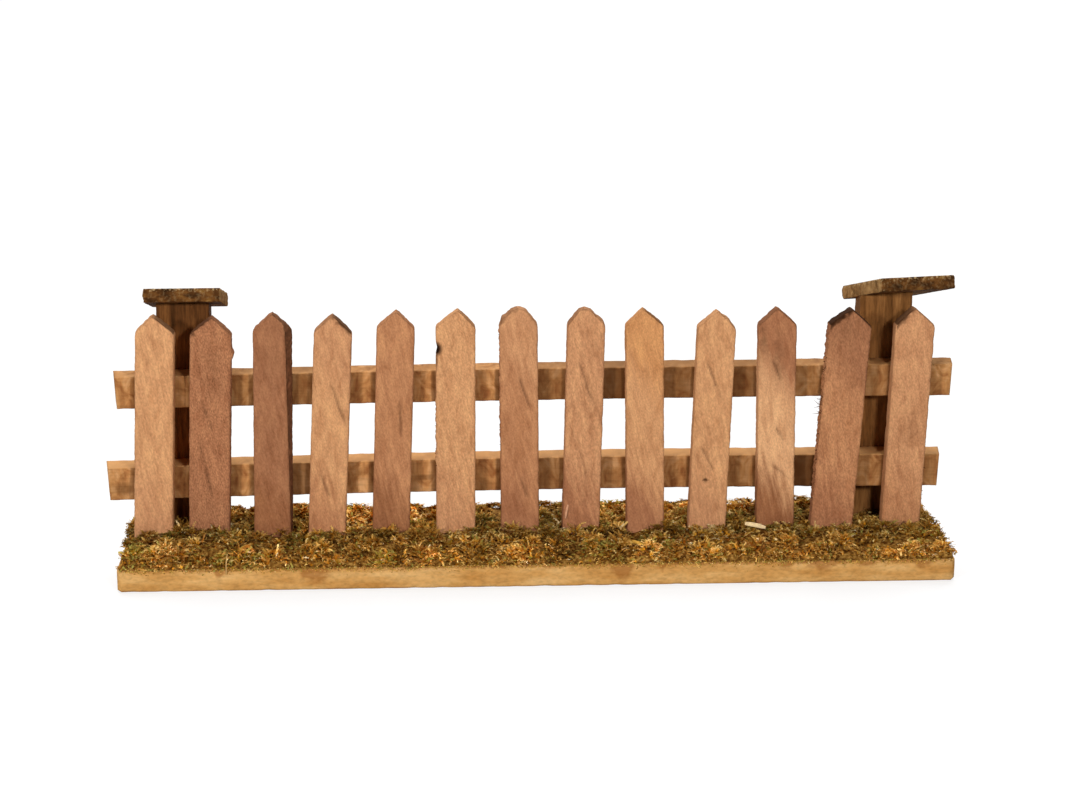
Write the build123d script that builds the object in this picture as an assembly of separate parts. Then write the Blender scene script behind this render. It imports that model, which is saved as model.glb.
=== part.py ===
"""A small handmade picket fence on its own mossy base board, a piece of model scenery.

Thirteen gabled strips are glued to the front of two bowed rails. The rails are glued to the front of
two flat posts that stand on the board, and each post wears a thin square cap on a sloping top.
Lengths are in millimetres. X runs along the fence, Y towards its back and Z up, and the origin is the
middle of the board's underside.
"""
import os
from math import radians, tan

from build123d import *

# Base board: one thin plank with eased corners
board_length = 150.0
board_depth = 33.0
board_thickness = 4.0
board_corner_radius = 1.2
board_foot_bevel = 0.5

# Posts: flat strips, set in from the board's ends, with their fronts a little behind its middle line
post_width = 9.7
post_depth = 6.0
post_inset = 11.35
post_front = 3.25
left_post_height = 43.5
left_post_lean_deg = 0.0
right_post_height = 44.05
right_post_lean_deg = 1.5

# Caps: thin square plates on post tops that are cut to slope down towards the back
cap_thickness = 2.45
left_cap_side = 13.9
left_cap_slope_deg = 15.1
left_cap_roll_deg = 0.0
left_cap_turn_deg = -2.0
left_cap_overhang = 0.4
right_cap_side = 15.3
right_cap_slope_deg = 15.2
right_cap_roll_deg = 3.6
right_cap_turn_deg = 19.3
right_cap_overhang = 2.7

# Rails: square strips that bow upwards, with ends sawn by eye, longer at the top and at the back
rail_depth = 5.8
rail_reach = 11.95
rail_end_slant_deg = 3.0
rail_end_skew_deg = 8.0
upper_rail_height = 6.0
upper_rail_level = 26.4
upper_rail_rise = 0.9
upper_rail_bow = 0.45
upper_rail_shift = 0.2
lower_rail_height = 6.2
lower_rail_level = 9.3
lower_rail_rise = 0.8
lower_rail_bow = 0.7
lower_rail_shift = -1.6

# Pickets: thin strips with gabled tips, set by eye, so each differs a little from the even row
picket_width = 6.9
picket_thickness = 3.0
picket_height = 43.8
picket_foot_gap = 1.0
picket_end_reach = 4.75
gable_rise = 2.9
tip_flat = 0.5
picket_shifts = [-0.3, -1.7, -1.8, -3.0, -3.0, -3.1, -3.0, -2.8, -3.0, -2.3, -1.9, -1.6, -0.7]
picket_leans_deg = [2.1, 1.9, 1.0, 2.6, 2.0, 0.3, -0.4, 1.3, -0.7, 2.0, -0.4, 3.9, 2.4]
picket_extra_widths = [0.1, 0.5, 0.1, -0.1, -0.1, 0.2, 0.0, -0.1, 0.0, 0.0, 0.0, 0.8, 0.2]
picket_extra_heights = [-0.2, -0.5, 0.0, -0.4, 0.2, 0.3, 0.6, 0.4, 0.2, -0.3, 0.1, -0.1, -0.1]
tip_shifts = [-0.4, 0.1, -0.1, -0.2, 0.0, 0.4, 0.0, -0.3, -0.2, 0.0, -0.1, 0.0, -0.3]
chipped_tip_flats = {7: 2.2, 8: 1.8}

# The third picket was sawn with a long bevel on its right edge, which fades out at the foot
bevelled_picket = 3
bevel_at_tip = 1.4
bevel_at_foot = 0.2

# Moss: a low bank glued on the board, highest along the pickets, thin at the front and at the ends
moss_margin = 0.4
moss_edge_height = 0.9
moss_crown_height = 4.2
moss_back_height = 3.2
moss_front_slope = 8.5
moss_back_slope = 4.0
moss_end_slope = 9.0
moss_clearance = 0.3

# Places that follow from the sizes above
board_top = board_thickness
post_x = board_length / 2 - post_inset
post_row = post_front + post_depth / 2
rail_front = post_front - rail_depth
picket_front = rail_front - picket_thickness
picket_count = len(picket_shifts)
picket_pitch = 2 * (post_x + picket_end_reach) / (picket_count - 1)
rail_middle = board_top + (upper_rail_level + upper_rail_height + lower_rail_level) / 2


def upright(outline, front, depth):
    """A flat piece sawn to an outline in X and Z, with its front face at Y = front."""
    return extrude(make_face(Plane.XZ.offset(-front) * outline), depth, dir=(0, 1, 0))


def base_board():
    board = Box(board_length, board_depth, board_thickness, align=(Align.CENTER, Align.CENTER, Align.MIN))
    board = fillet(board.edges().filter_by(Axis.Z), board_corner_radius)
    return chamfer(board.faces().sort_by(Axis.Z)[0].edges(), board_foot_bevel)


def post_top_plane(x, height, lean, slope, roll):
    """The sawn top of a post, on the post's axis, sloping down towards the back."""
    axis_top = Location((x, post_row, board_top)) * Rot(0, lean, 0) * Pos(0, 0, height)
    return Plane(Pos(axis_top.position) * Rot(-slope, -roll, 0))


def post(x, height, lean, top_plane, clearance=0.0):
    """A flat strip that leans along the fence, sawn level on the board and to the slope on top."""
    width, depth = post_width + 2 * clearance, post_depth + 2 * clearance
    strip = Box(width, depth, height + 2 * post_width, align=(Align.CENTER, Align.CENTER, Align.MIN))
    strip = Location((x, post_row, board_top)) * Rot(0, lean, 0) * Pos(0, 0, -post_width) * strip
    strip = split(strip, Plane.XY.offset(board_top), keep=Keep.TOP)
    return split(strip, top_plane, keep=Keep.BOTTOM)


def cap(top_plane, side, turn, overhang):
    plate = Box(side, side, cap_thickness, align=(Align.CENTER, Align.CENTER, Align.MIN))
    return top_plane.location * Pos(overhang, 0, 0) * Rot(0, 0, turn) * plate


def rail_end_cut(x, foot, way):
    """The saw cut at a rail's end, through the foot of its front face. Way is 1 or -1, right or left."""
    outwards = (way, -tan(radians(rail_end_skew_deg)), -tan(radians(rail_end_slant_deg)))
    return Plane((x, rail_front, foot), z_dir=outwards)


def rail(height, level, rise, bow, shift):
    """A strip bowed upwards from its two ends, at level, with its right end higher by rise."""
    reach = post_x + rail_reach
    spare = rail_depth
    left, middle, right = shift - reach - spare, shift, shift + reach + spare
    low, mid, high = (board_top + level + step for step in (-rise / 2, bow, rise / 2))
    underside = ThreePointArc((left, low), (middle, mid), (right, high))
    right_end = Line(underside @ 1, (right, high + height))
    top = ThreePointArc(right_end @ 1, (middle, mid + height), (left, low + height))
    left_end = Line(top @ 1, underside @ 0)
    strip = upright(underside + right_end + top + left_end, rail_front, rail_depth)
    strip = split(strip, rail_end_cut(shift - reach, low, -1), keep=Keep.BOTTOM)
    return split(strip, rail_end_cut(shift + reach, high, 1), keep=Keep.BOTTOM)


def picket_place(index):
    """Where a picket crosses the middle of the two rails, and how it leans."""
    x = (index - (picket_count - 1) / 2) * picket_pitch + picket_shifts[index]
    return Location((x, 0, rail_middle)) * Rot(0, picket_leans_deg[index], 0)


def picket_outline(index, clearance):
    """A strip with a gable, from its foot in the moss to its tip, about the middle of the rails."""
    half = (picket_width + picket_extra_widths[index]) / 2 + clearance
    foot = board_top + picket_foot_gap - rail_middle - clearance
    tip = board_top + picket_height + picket_extra_heights[index] - rail_middle + clearance
    flat = chipped_tip_flats.get(index + 1, tip_flat) / 2
    tip_x = tip_shifts[index]
    shoulder = tip - gable_rise
    right_side = [(half, foot), (half, shoulder), (tip_x + flat, tip)]
    left_side = [(tip_x - flat, tip), (-half, shoulder), (-half, foot)]
    return Polyline(right_side + left_side, close=True)


def picket(index):
    strip = upright(picket_outline(index, 0.0), picket_front, picket_thickness)
    if index + 1 == bevelled_picket:
        strip = split(strip, edge_bevel_plane(index), keep=Keep.BOTTOM)
    return picket_place(index) * strip


def edge_bevel_plane(index):
    """The saw cut that takes the front of a picket's right edge away, more at the tip than at the foot."""
    edge = (picket_width + picket_extra_widths[index]) / 2
    foot = board_top + picket_foot_gap - rail_middle
    tip = board_top + picket_height + picket_extra_heights[index] - rail_middle
    front_foot = Vector(edge - bevel_at_foot, picket_front, foot)
    front_tip = Vector(edge - bevel_at_tip, picket_front, tip)
    back_tip = Vector(edge, picket_front + picket_thickness, tip)
    along = front_tip - front_foot
    across = back_tip - front_tip
    return Plane(front_tip, x_dir=along, z_dir=across.cross(along))


def moss_bank():
    """The moss before anything goes through it: its shape from the end, met by its shape from the front."""
    front, back = -board_depth / 2 + moss_margin, board_depth / 2 - moss_margin
    end = board_length / 2 - moss_margin
    edge = board_top + moss_edge_height
    crown = board_top + moss_crown_height
    rear = board_top + moss_back_height
    side = Polyline(
        [
            (front, board_top),
            (front, edge),
            (front + moss_front_slope, crown),
            (back - moss_back_slope, crown),
            (back, rear),
            (back, board_top),
        ],
        close=True,
    )
    run = extrude(make_face(Plane.YZ * side), end, both=True)
    length = Polyline(
        [
            (-end, board_top),
            (-end, edge),
            (-end + moss_end_slope, crown),
            (end - moss_end_slope, crown),
            (end, edge),
            (end, board_top),
        ],
        close=True,
    )
    return run & upright(length, -board_depth, 2 * board_depth)


def moss_bed():
    """The bank with a pocket a little wider than each post and picket that stands in it."""
    bank = moss_bank()
    for index in range(picket_count):
        outline = picket_outline(index, moss_clearance)
        pocket = upright(outline, picket_front - moss_clearance, picket_thickness + 2 * moss_clearance)
        bank -= picket_place(index) * pocket
    bank -= post(*left_post, moss_clearance)
    bank -= post(*right_post, moss_clearance)
    return bank


left_strip = (-post_x, left_post_height, left_post_lean_deg)
right_strip = (post_x, right_post_height, right_post_lean_deg)
left_top = post_top_plane(*left_strip, left_cap_slope_deg, left_cap_roll_deg)
right_top = post_top_plane(*right_strip, right_cap_slope_deg, right_cap_roll_deg)
left_post = (*left_strip, left_top)
right_post = (*right_strip, right_top)
nodes = {
    "base_board": base_board(),
    "moss_bed": moss_bed(),
    "left_post": post(*left_post),
    "right_post": post(*right_post),
    "left_cap": cap(left_top, left_cap_side, left_cap_turn_deg, left_cap_overhang),
    "right_cap": cap(right_top, right_cap_side, right_cap_turn_deg, right_cap_overhang),
    "upper_rail": rail(
        upper_rail_height, upper_rail_level, upper_rail_rise, upper_rail_bow, upper_rail_shift
    ),
    "lower_rail": rail(
        lower_rail_height, lower_rail_level, lower_rail_rise, lower_rail_bow, lower_rail_shift
    ),
}
for index in range(picket_count):
    nodes[f"picket_{index + 1:02d}"] = picket(index)

os.makedirs("parts", exist_ok=True)
for name, shape in nodes.items():
    export_step(shape, f"parts/{name}.step")
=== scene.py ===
import math

import bpy
import numpy as np
from mathutils import Euler, Matrix, Vector, noise


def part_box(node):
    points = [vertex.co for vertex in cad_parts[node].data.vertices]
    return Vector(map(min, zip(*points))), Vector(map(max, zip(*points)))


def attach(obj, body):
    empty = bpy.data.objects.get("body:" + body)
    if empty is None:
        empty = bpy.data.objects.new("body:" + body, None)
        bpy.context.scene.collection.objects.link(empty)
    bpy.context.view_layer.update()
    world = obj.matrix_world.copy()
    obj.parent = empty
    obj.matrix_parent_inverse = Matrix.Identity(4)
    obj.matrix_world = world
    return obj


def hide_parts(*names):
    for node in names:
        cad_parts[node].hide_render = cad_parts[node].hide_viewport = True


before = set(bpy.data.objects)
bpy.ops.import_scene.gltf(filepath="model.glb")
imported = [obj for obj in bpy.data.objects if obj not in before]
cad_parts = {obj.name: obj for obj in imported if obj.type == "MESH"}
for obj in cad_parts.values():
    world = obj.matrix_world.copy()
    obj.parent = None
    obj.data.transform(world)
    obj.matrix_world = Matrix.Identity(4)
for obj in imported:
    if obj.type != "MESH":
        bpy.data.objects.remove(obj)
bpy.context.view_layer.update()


# The base board: one plank of raw fibreboard, sawn to size and left bare.
# Its corners are worn round, and brown glue has soaked into its front in places.
MM = 0.001
board_low, board_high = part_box("base_board")
board_station = 0.7 * MM
board_cuts = (12, 16, 12, 16)
board_corner = 0.5 * MM
board_arris = 0.3 * MM
board_wave = 0.2 * MM
# Brown glue on the front: the middle along the board, half the width and the reach down from the top, in mm.
glue_runs = [(-57, 1.6, 1.6), (-40, 3.4, 3.2), (15, 2.6, 3.6), (22, 0.8, 2.0), (44.5, 1.8, 1.7),
             (51, 3.8, 2.0), (59, 2.6, 1.3), (69, 2.0, 1.9)]
# In mm down from the top: where the glue line along the edge ends, and where the painted shadow along the
# foot starts.
glue_line, foot_shadow_line = 0.9, 3.72
# How one colour goes on another in a finish: laid over it, or multiplied with it.
laid_over = {"data_type": "RGBA"}
multiplied = {**laid_over, "blend_type": "MULTIPLY"}


def linear(hex_colour):
    """An sRGB hex colour as linear red, green, blue and alpha."""
    channels = [int(hex_colour[place:place + 2], 16) / 255 for place in (1, 3, 5)]
    return (*[c / 12.92 if c <= 0.04045 else ((c + 0.055) / 1.055) ** 2.4 for c in channels], 1.0)


def add(tree, kind, inputs, stops=(), out=None, **settings):
    """Adds a node: its settings, a value or a link for each socket, and the stops of its ramp.

    A stop's colour is a hex colour or linear. Gives the output that is named, or else the first one in use.
    """
    node = tree.nodes.new("ShaderNode" + kind)
    for setting, value in settings.items():
        setattr(node, setting, value)
    for socket, value in inputs.items():
        if isinstance(value, bpy.types.NodeSocket):
            tree.links.new(value, node.inputs[socket])
        else:
            node.inputs[socket].default_value = value
    for number, (place, colour) in enumerate(stops):
        elements = node.color_ramp.elements
        if 0 < number < len(stops) - 1:
            element = elements.new(place)
        else:
            element = elements[0 if number == 0 else -1]
        element.position = place
        element.color = linear(colour) if isinstance(colour, str) else colour
    return node.outputs[out] if out else next(way for way in node.outputs if way.enabled)


def grey(value):
    """A plain linear grey, to multiply with."""
    return (value, value, value, 1.0)


def blank_material(name, roughness):
    """A matt material with only its shader, whose roughness is the same all over."""
    made = bpy.data.materials.new(name)
    made.use_nodes = True
    shader = made.node_tree.nodes["Principled BSDF"]
    shader.inputs["Roughness"].default_value = roughness
    shader.inputs["Specular IOR Level"].default_value = 0.05
    return made, made.node_tree, shader


def in_grains(tree, size_mm, seed=0.0):
    """Object coordinates counted in grains of the given size, one size for each axis."""
    place = add(tree, "TexCoord", {}, out="Object")
    scale = [1 / (MM * size) for size in size_mm]
    shift = (seed, 2.3 * seed, 5.1 * seed)
    return add(tree, "VectorMath", {0: place, 1: scale, 2: shift}, operation="MULTIPLY_ADD")


def grains(tree, size_mm, detail, seed=0.0, distortion=0.0):
    """A pattern of uneven grains of a real size, as one value from 0 to 1."""
    place = in_grains(tree, size_mm, seed)
    return add(tree, "TexNoise", {"Vector": place, "Scale": 1.0, "Detail": detail, "Distortion": distortion})


def shaded(tree, colour, pattern, share, stops):
    """A colour made darker and lighter by a pattern, as far as the share says."""
    tones = add(tree, "ValToRGB", {"Fac": pattern}, stops)
    return add(tree, "Mix", {0: share, 6: colour, 7: tones}, **multiplied)


def dress(tree, shader, colour, height, strength, depth):
    """Gives a shader its colour, and a shallow relief that follows a pattern."""
    tree.links.new(colour, shader.inputs["Base Color"])
    relief = add(tree, "Bump", {"Height": height, "Strength": strength, "Distance": depth})
    tree.links.new(relief, shader.inputs["Normal"])


def unit(vectors):
    """The vectors at length one."""
    return vectors / np.maximum(np.linalg.norm(vectors, axis=-1, keepdims=True), 1e-12)


def section(quads, cuts, ease):
    """Points round each four-cornered ring with its corners eased.

    Also gives how near each point is to a corner, and the side it lies on, or -1 at a corner.
    """
    points, nearness, sides = [], [], []
    for side in range(4):
        here, there, beyond = (quads[:, (side + step) % 4] for step in range(3))
        along, onward = unit(there - here), unit(beyond - there)
        inset = np.minimum(ease, 0.3 * np.linalg.norm(there - here, axis=1, keepdims=True))
        start, end = here + along * inset, there - along * inset
        for share in np.linspace(0, 1, cuts[side] + 1):
            points.append(start + (end - start) * share)
            nearness.append(0.5 if share in (0, 1) else 0.0)
            sides.append(side)
        points.append(there + (onward - along) * 0.3 * inset)
        nearness.append(1.0)
        sides.append(-1)
    return np.stack(points, axis=1), np.array(nearness), np.array(sides)


def outward(rings):
    """The direction out of the surface at each point of a stack of rings."""
    across = np.roll(rings, -1, axis=1) - np.roll(rings, 1, axis=1)
    out = unit(np.cross(np.gradient(rings, axis=0), across))
    middle = rings.mean(axis=1, keepdims=True)
    return np.where(np.sum(out * (rings - middle), axis=-1, keepdims=True) < 0, -out, out)


def grain_noise(points, size_mm, seed):
    """Smooth noise between -1 and 1 at each point, with one size for each axis."""
    flat = (points / (MM * np.array(size_mm)) + seed).reshape(-1, 3)
    return np.array([noise.noise(Vector(place)) for place in flat]).reshape(points.shape[:-1])


def new_piece(name, points, faces):
    """A new object in the scene, of points and faces."""
    mesh = bpy.data.meshes.new(name)
    mesh.from_pydata([tuple(point) for point in points], [], faces)
    piece = bpy.data.objects.new(name, mesh)
    bpy.context.scene.collection.objects.link(piece)
    return piece


def loft(name, rings, marks, insets=(0.97, 0.85, 0.6, 0.3), fade=0.0):
    """A closed piece from a stack of rings, its two ends filled in steps, with values at each point.

    On the ends, the values fall off from the rim to the middle as fast as fade says.
    """
    count, round_count = rings.shape[:2]
    points = list(rings.reshape(-1, 3))
    values = {mark: list(value.reshape(-1)) for mark, value in marks.items()}
    faces = []
    step = [(k, (k + 1) % round_count) for k in range(round_count)]
    for row in range(count - 1):
        low, high = row * round_count, (row + 1) * round_count
        faces += [(low + a, low + b, high + b, high + a) for a, b in step]
    for row in (0, count - 1):
        ring, middle = rings[row], rings[row].mean(axis=0)
        rim = row * round_count
        for inset in insets:
            base = len(points)
            points += list(middle + (ring - middle) * inset)
            for mark, value in marks.items():
                values[mark] += list(value[row] * max(0, 1 - fade * (1 - inset)))
            faces += [(rim + a, rim + b, base + b, base + a) for a, b in step]
            rim = base
        points.append(middle)
        for mark in marks:
            values[mark].append(values[mark][-1])
        faces += [(rim + a, rim + b, len(points) - 1) for a, b in step]
    piece = new_piece(name, points, faces)
    for mark, value in values.items():
        attribute = piece.data.attributes.new(mark, "FLOAT", "POINT")
        attribute.data.foreach_set("value", np.array(value, np.float32))
    piece.data.shade_smooth()
    return piece


def set_piece(piece, material, node=None):
    """Turns the faces outwards, gives the finish, and lets the piece stand for its solid if it has one."""
    piece.data.materials.append(material)
    bpy.context.view_layer.objects.active = piece
    bpy.ops.object.mode_set(mode="EDIT")
    bpy.ops.mesh.select_all(action="SELECT")
    bpy.ops.mesh.normals_make_consistent(inside=False)
    bpy.ops.object.mode_set(mode="OBJECT")
    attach(piece, "root")
    if node:
        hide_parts(node)


def raw_fibreboard():
    """Raw fibreboard, sawn: pale gold, felted, matt, brown where glue ran, and a painted shadow along its
    foot.
    """
    made, tree, shader = blank_material("raw_fibreboard", 0.8)
    cloud = grains(tree, (8.0, 5.0, 1.8), 5.0)
    body = add(tree, "ValToRGB", {"Fac": cloud}, [(0.3, "#C48B48"), (0.5, "#D39E5B"), (0.7, "#E2B271")])
    grit = grains(tree, (0.9, 0.45, 0.45), 4.0)
    grained = shaded(tree, body, grit, 0.9, [(0.3, grey(0.8)), (0.5, grey(1.0)), (0.72, grey(1.14))])
    # The glue mark holds the brown glue and also the painted shadow along the foot, in the same brown.
    run = add(tree, "Attribute", {}, out="Fac", attribute_name="glue")
    ragged = grains(tree, (1.6, 1.6, 0.9), 5.0, 3.7)
    glue_and_foot_shadow = add(tree, "Math", {0: run, 1: 0.75, 2: ragged}, operation="MULTIPLY_ADD")
    stain = add(tree, "MapRange", {"Value": glue_and_foot_shadow, "From Min": 0.7, "From Max": 1.05, "To Max": 0.62})
    stained = add(tree, "Mix", {0: stain, 6: grained, 7: linear("#985A24")}, **laid_over)
    dress(tree, shader, stained, grit, 0.35, 0.12 * MM)
    return made


board_x = np.linspace(board_low.x, board_high.x, int((board_high.x - board_low.x) / board_station))
end_gap = np.minimum(board_x - board_low.x, board_high.x - board_x)
short = np.clip(board_corner - end_gap, 0, None)
worn = board_corner - np.sqrt(np.maximum(board_corner ** 2 - short ** 2, 0))
board_front, board_back = board_low.y + worn, board_high.y - worn
board_under, board_over = board_low.z + 0.6 * worn, np.full_like(board_x, board_high.z)
board_edges = ((board_front, board_under), (board_front, board_over), (board_back, board_over),
               (board_back, board_under))
board_quads = np.stack([np.stack([board_x, y, z], axis=1) for y, z in board_edges], axis=1)
board_rings, board_edge, _ = section(board_quads, board_cuts, board_arris)
wave = np.minimum(grain_noise(board_rings, (2.6, 2.6, 2.6), 4.1), 0) * (0.3 + board_edge)
board_rings += outward(board_rings) * (board_wave * wave)[..., None]
along, down = board_rings[..., 0] / MM, (board_high.z - board_rings[..., 2]) / MM
# Glue along the top edge and in runs down the front, and painted shadow along the foot where the board meets
# the floor.
glue = 0.75 * np.clip(1 - down / glue_line, 0, 1) + 0.8 * np.clip(4 * (down - foot_shadow_line), 0, 1)
for middle, half, run in glue_runs:
    glue = np.maximum(glue, np.clip(1.3 - ((along - middle) / half) ** 2 - down / run, 0, 1))
glue = glue * (board_rings[..., 1] < board_low.y + 0.4 * MM)
plank = loft("base_board_plank", board_rings, {"glue": glue})
set_piece(plank, raw_fibreboard(), "base_board")


# The two posts: flat strips of pine, sawn and stained dark, glued upright on the board.
# The grain runs up the strip, and the saw has left shallow steps across it.
post_station = 0.45 * MM
post_cuts = (16, 10, 16, 10)
post_arris = 0.3 * MM
post_ripple = 0.09 * MM
post_seeds = {"left": 7.3, "right": 2.9}
# The dark, the middle and the pale tone of each post's stain; the left post's are darker partly as painted
# shade of its cap on the neck.
post_tones = {"left": ("#3E240D", "#603A1B", "#7C5028"), "right": ("#5E3B1A", "#80542B", "#9C6C3C")}
# How many times brighter each post is painted below its neck: painted light in the shade between the pickets.
painted_light_below_neck = {"left": 2.2, "right": 1.1}
neck_foot, neck_middle = 41 * MM, 45 * MM


def corner_spots(node):
    """The places of a solid's corners, each one once."""
    return np.unique(np.round([vertex.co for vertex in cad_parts[node].data.vertices], 7), axis=0)


def eight_corners(node, up):
    """A block's corners from its solid, the lower ring and the upper ring, each from the front left round."""
    spots = corner_spots(node)
    level = spots @ np.array(up)
    rings = []
    for group in (spots[level < level.mean()], spots[level >= level.mean()]):
        around = group - group.mean(axis=0)
        rings.append(group[np.argsort(np.arctan2(around[:, 1], around[:, 0]))])
    return rings


def stained_pine(side):
    """Pine under a dark brown stain: the soft grain drinks more of it, so dark streaks run up the strip."""
    made, tree, shader = blank_material(f"stained_pine_{side}", 0.7)
    streak = grains(tree, (1.1, 1.1, 14.0), 5.0, distortion=0.4)
    body = add(tree, "ValToRGB", {"Fac": streak}, list(zip((0.3, 0.5, 0.7), post_tones[side])))
    pore = grains(tree, (0.3, 0.3, 2.2), 2.0)
    grained = shaded(tree, body, pore, 0.7, [(0.35, grey(0.62)), (0.55, grey(1.0))])
    # Painted light: below the neck the post is painted brighter, where it stands in the pickets' shade.
    height = add(tree, "SeparateXYZ", {0: add(tree, "TexCoord", {}, out="Object")}, out="Z")
    low = add(tree, "MapRange", {"Value": height, "From Min": neck_middle, "From Max": neck_foot})
    lifted_below_neck = add(tree, "Mix", {0: low, 6: grained, 7: grey(painted_light_below_neck[side])}, **multiplied)
    dress(tree, shader, lifted_below_neck, pore, 0.5, 0.12 * MM)
    return made


for side, seed in post_seeds.items():
    foot, top = eight_corners(f"{side}_post", (0, 0, 1))
    count = int((top - foot)[:, 2].max() / post_station)
    share = np.linspace(0, 1, count)[:, None, None]
    rings, edge, _ = section(foot + (top - foot) * share, post_cuts, post_arris)
    ripple = grain_noise(rings, (4.0, 4.0, 1.2), seed) - 0.5 - 0.6 * edge
    rings += outward(rings) * (post_ripple * ripple)[..., None]
    set_piece(loft(f"{side}_post_strip", rings, {}), stained_pine(side), f"{side}_post")


# The caps: thin square plates of the same pine, cut off a wide strip and glued on the posts' sloping tops.
# Their fronts and backs are torn end grain, dark with stain; their upper rims are chipped, worn pale and
# painted paler as highlight.
cap_station = 0.2 * MM
cap_cuts = (56, 48, 56, 48)
cap_insets = (0.98, 0.94, 0.85, 0.7, 0.5, 0.25)
cap_arris = 0.3 * MM
cap_tear = 0.26 * MM
cap_seeds = {"left": 1.7, "right": 8.2}
rim_fade = 9.0


def torn_end_grain():
    """Stained pine sawn across its grain: dark, pitted, browner at the sides, pale nicks on the rims and
    painted highlight.
    """
    made, tree, shader = blank_material("torn_end_grain", 0.8)
    smear = grains(tree, (2.6, 2.6, 1.3), 5.0)
    dark = add(tree, "ValToRGB", {"Fac": smear}, [
        (0.3, "#2A1808"), (0.46, "#4E2F14"), (0.6, "#714821"), (0.74, "#8F6A33")])
    streak = grains(tree, (0.8, 0.8, 3.0), 4.0)
    brown = add(tree, "ValToRGB", {"Fac": streak}, [(0.3, "#6F4F29"), (0.5, "#967045"), (0.7, "#B68D5A")])
    facing = add(tree, "SeparateXYZ", {0: add(tree, "TexCoord", {}, out="Normal")}, out="X")
    sideways = add(tree, "Math", {0: facing}, operation="ABSOLUTE")
    side = add(tree, "MapRange", {"Value": sideways, "From Min": 0.6, "From Max": 0.85})
    grain = add(tree, "Mix", {0: side, 6: dark, 7: brown}, **laid_over)
    pit = grains(tree, (0.5, 0.5, 0.5), 4.0)
    nick = add(tree, "ValToRGB", {"Fac": pit}, [(0.5, grey(0.0)), (0.64, grey(1.0))])
    rim = add(tree, "Attribute", {}, out="Fac", attribute_name="edge")
    rimmed = add(tree, "Math", {0: rim, 1: 0.7, 2: 0.12}, operation="MULTIPLY_ADD")
    pale = add(tree, "Math", {0: nick, 1: rimmed}, operation="MULTIPLY")
    nicked = add(tree, "Mix", {0: pale, 6: grain, 7: linear("#C7A878")}, **laid_over)
    dress(tree, shader, nicked, pit, 0.7, 0.25 * MM)
    return made


cap_wood = torn_end_grain()
for side, seed in cap_seeds.items():
    flat = max(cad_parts[f"{side}_cap"].data.polygons, key=lambda face: face.area * (face.normal.z > 0))
    under, over = eight_corners(f"{side}_cap", flat.normal)
    count = int(np.linalg.norm(over[0] - under[0]) / cap_station)
    share = np.linspace(0, 1, count)[:, None, None]
    rings, edge, _ = section(under + (over - under) * share, cap_cuts, cap_arris)
    rim = np.abs(np.linspace(-1, 1, count))[:, None] ** 5
    tear = grain_noise(rings, (0.9, 0.9, 0.7), seed)
    depth = cap_tear * (np.minimum(tear, 0.3) - 0.4 * rim - 0.2 * edge)
    rings += outward(rings) * depth[..., None]
    # The upper rim gets the most pale nicks: worn chips, and also a painted highlight where the light from
    # behind catches it.
    rim_wear_and_highlight = np.clip(np.linspace(-1.6, 1.2, count), 0, 1)[:, None] ** 2
    worn = {"edge": np.maximum(rim_wear_and_highlight, 0.5 * edge)}
    plate = loft(f"{side}_cap_plate", rings, worn, cap_insets, rim_fade)
    set_piece(plate, cap_wood, f"{side}_cap")


# The two rails: square strips of stained lime, bowed, glued across the fronts of the posts.
# The saw left marks across them, and they took the stain in blotches, darker in some stretches.
rail_station = 0.5 * MM
rail_cuts = (12, 10, 10, 10)
rail_arris = 0.3 * MM
rail_ripple = 0.1 * MM
rail_seeds = {"upper": 5.5, "lower": 9.4}
# How far the faces that look up are painted golden and pale: a painted highlight of the light from above,
# more on the lower rail.
top_highlight_share = {"upper": 0.32, "lower": 0.75}
# Darker stretches of each rail: the middle along the fence and half the length in mm, and the depth of tone.
dark_stretches = {
    "upper": [(-53, 6, 0.4), (-43, 6, 0.65), (-20, 5, 0.1), (3, 6, 0.6), (14, 7, 1.0), (26, 7, 0.8),
              (38, 7, 0.85), (50, 6, 0.5), (61, 5, 0.4)],
    "lower": [(-64, 3, 0.35), (-42, 6, 0.8), (3, 6, 0.6), (14, 6, 0.35), (26, 6, 0.35), (38, 6, 0.5),
              (50, 9, 1.1), (61, 3, 0.4)],
}
# Knots and figure on the lower rail's front: along the fence, up from the floor, half the width,
# half the height, all in mm, and how dark.
rail_knots = {
    "upper": [],
    "lower": [(-74.6, 15.2, 1.8, 1.2, 0.65), (-50.2, 15.8, 1.3, 2.4, 0.6), (-20.1, 16.7, 4.0, 0.4, 0.6),
              (-10.5, 15.0, 2.5, 1.2, 0.55)],
}
# Painted shadow that each picket casts on the rail's front, left and right of it: how far it reaches in mm,
# and how dark it is.
picket_shadow_beside = ((1.0, 0.75), (1.8, 0.45))
# Corners that are closer than this, in metres, lie in one plane.
same_plane = 1e-6


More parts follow.
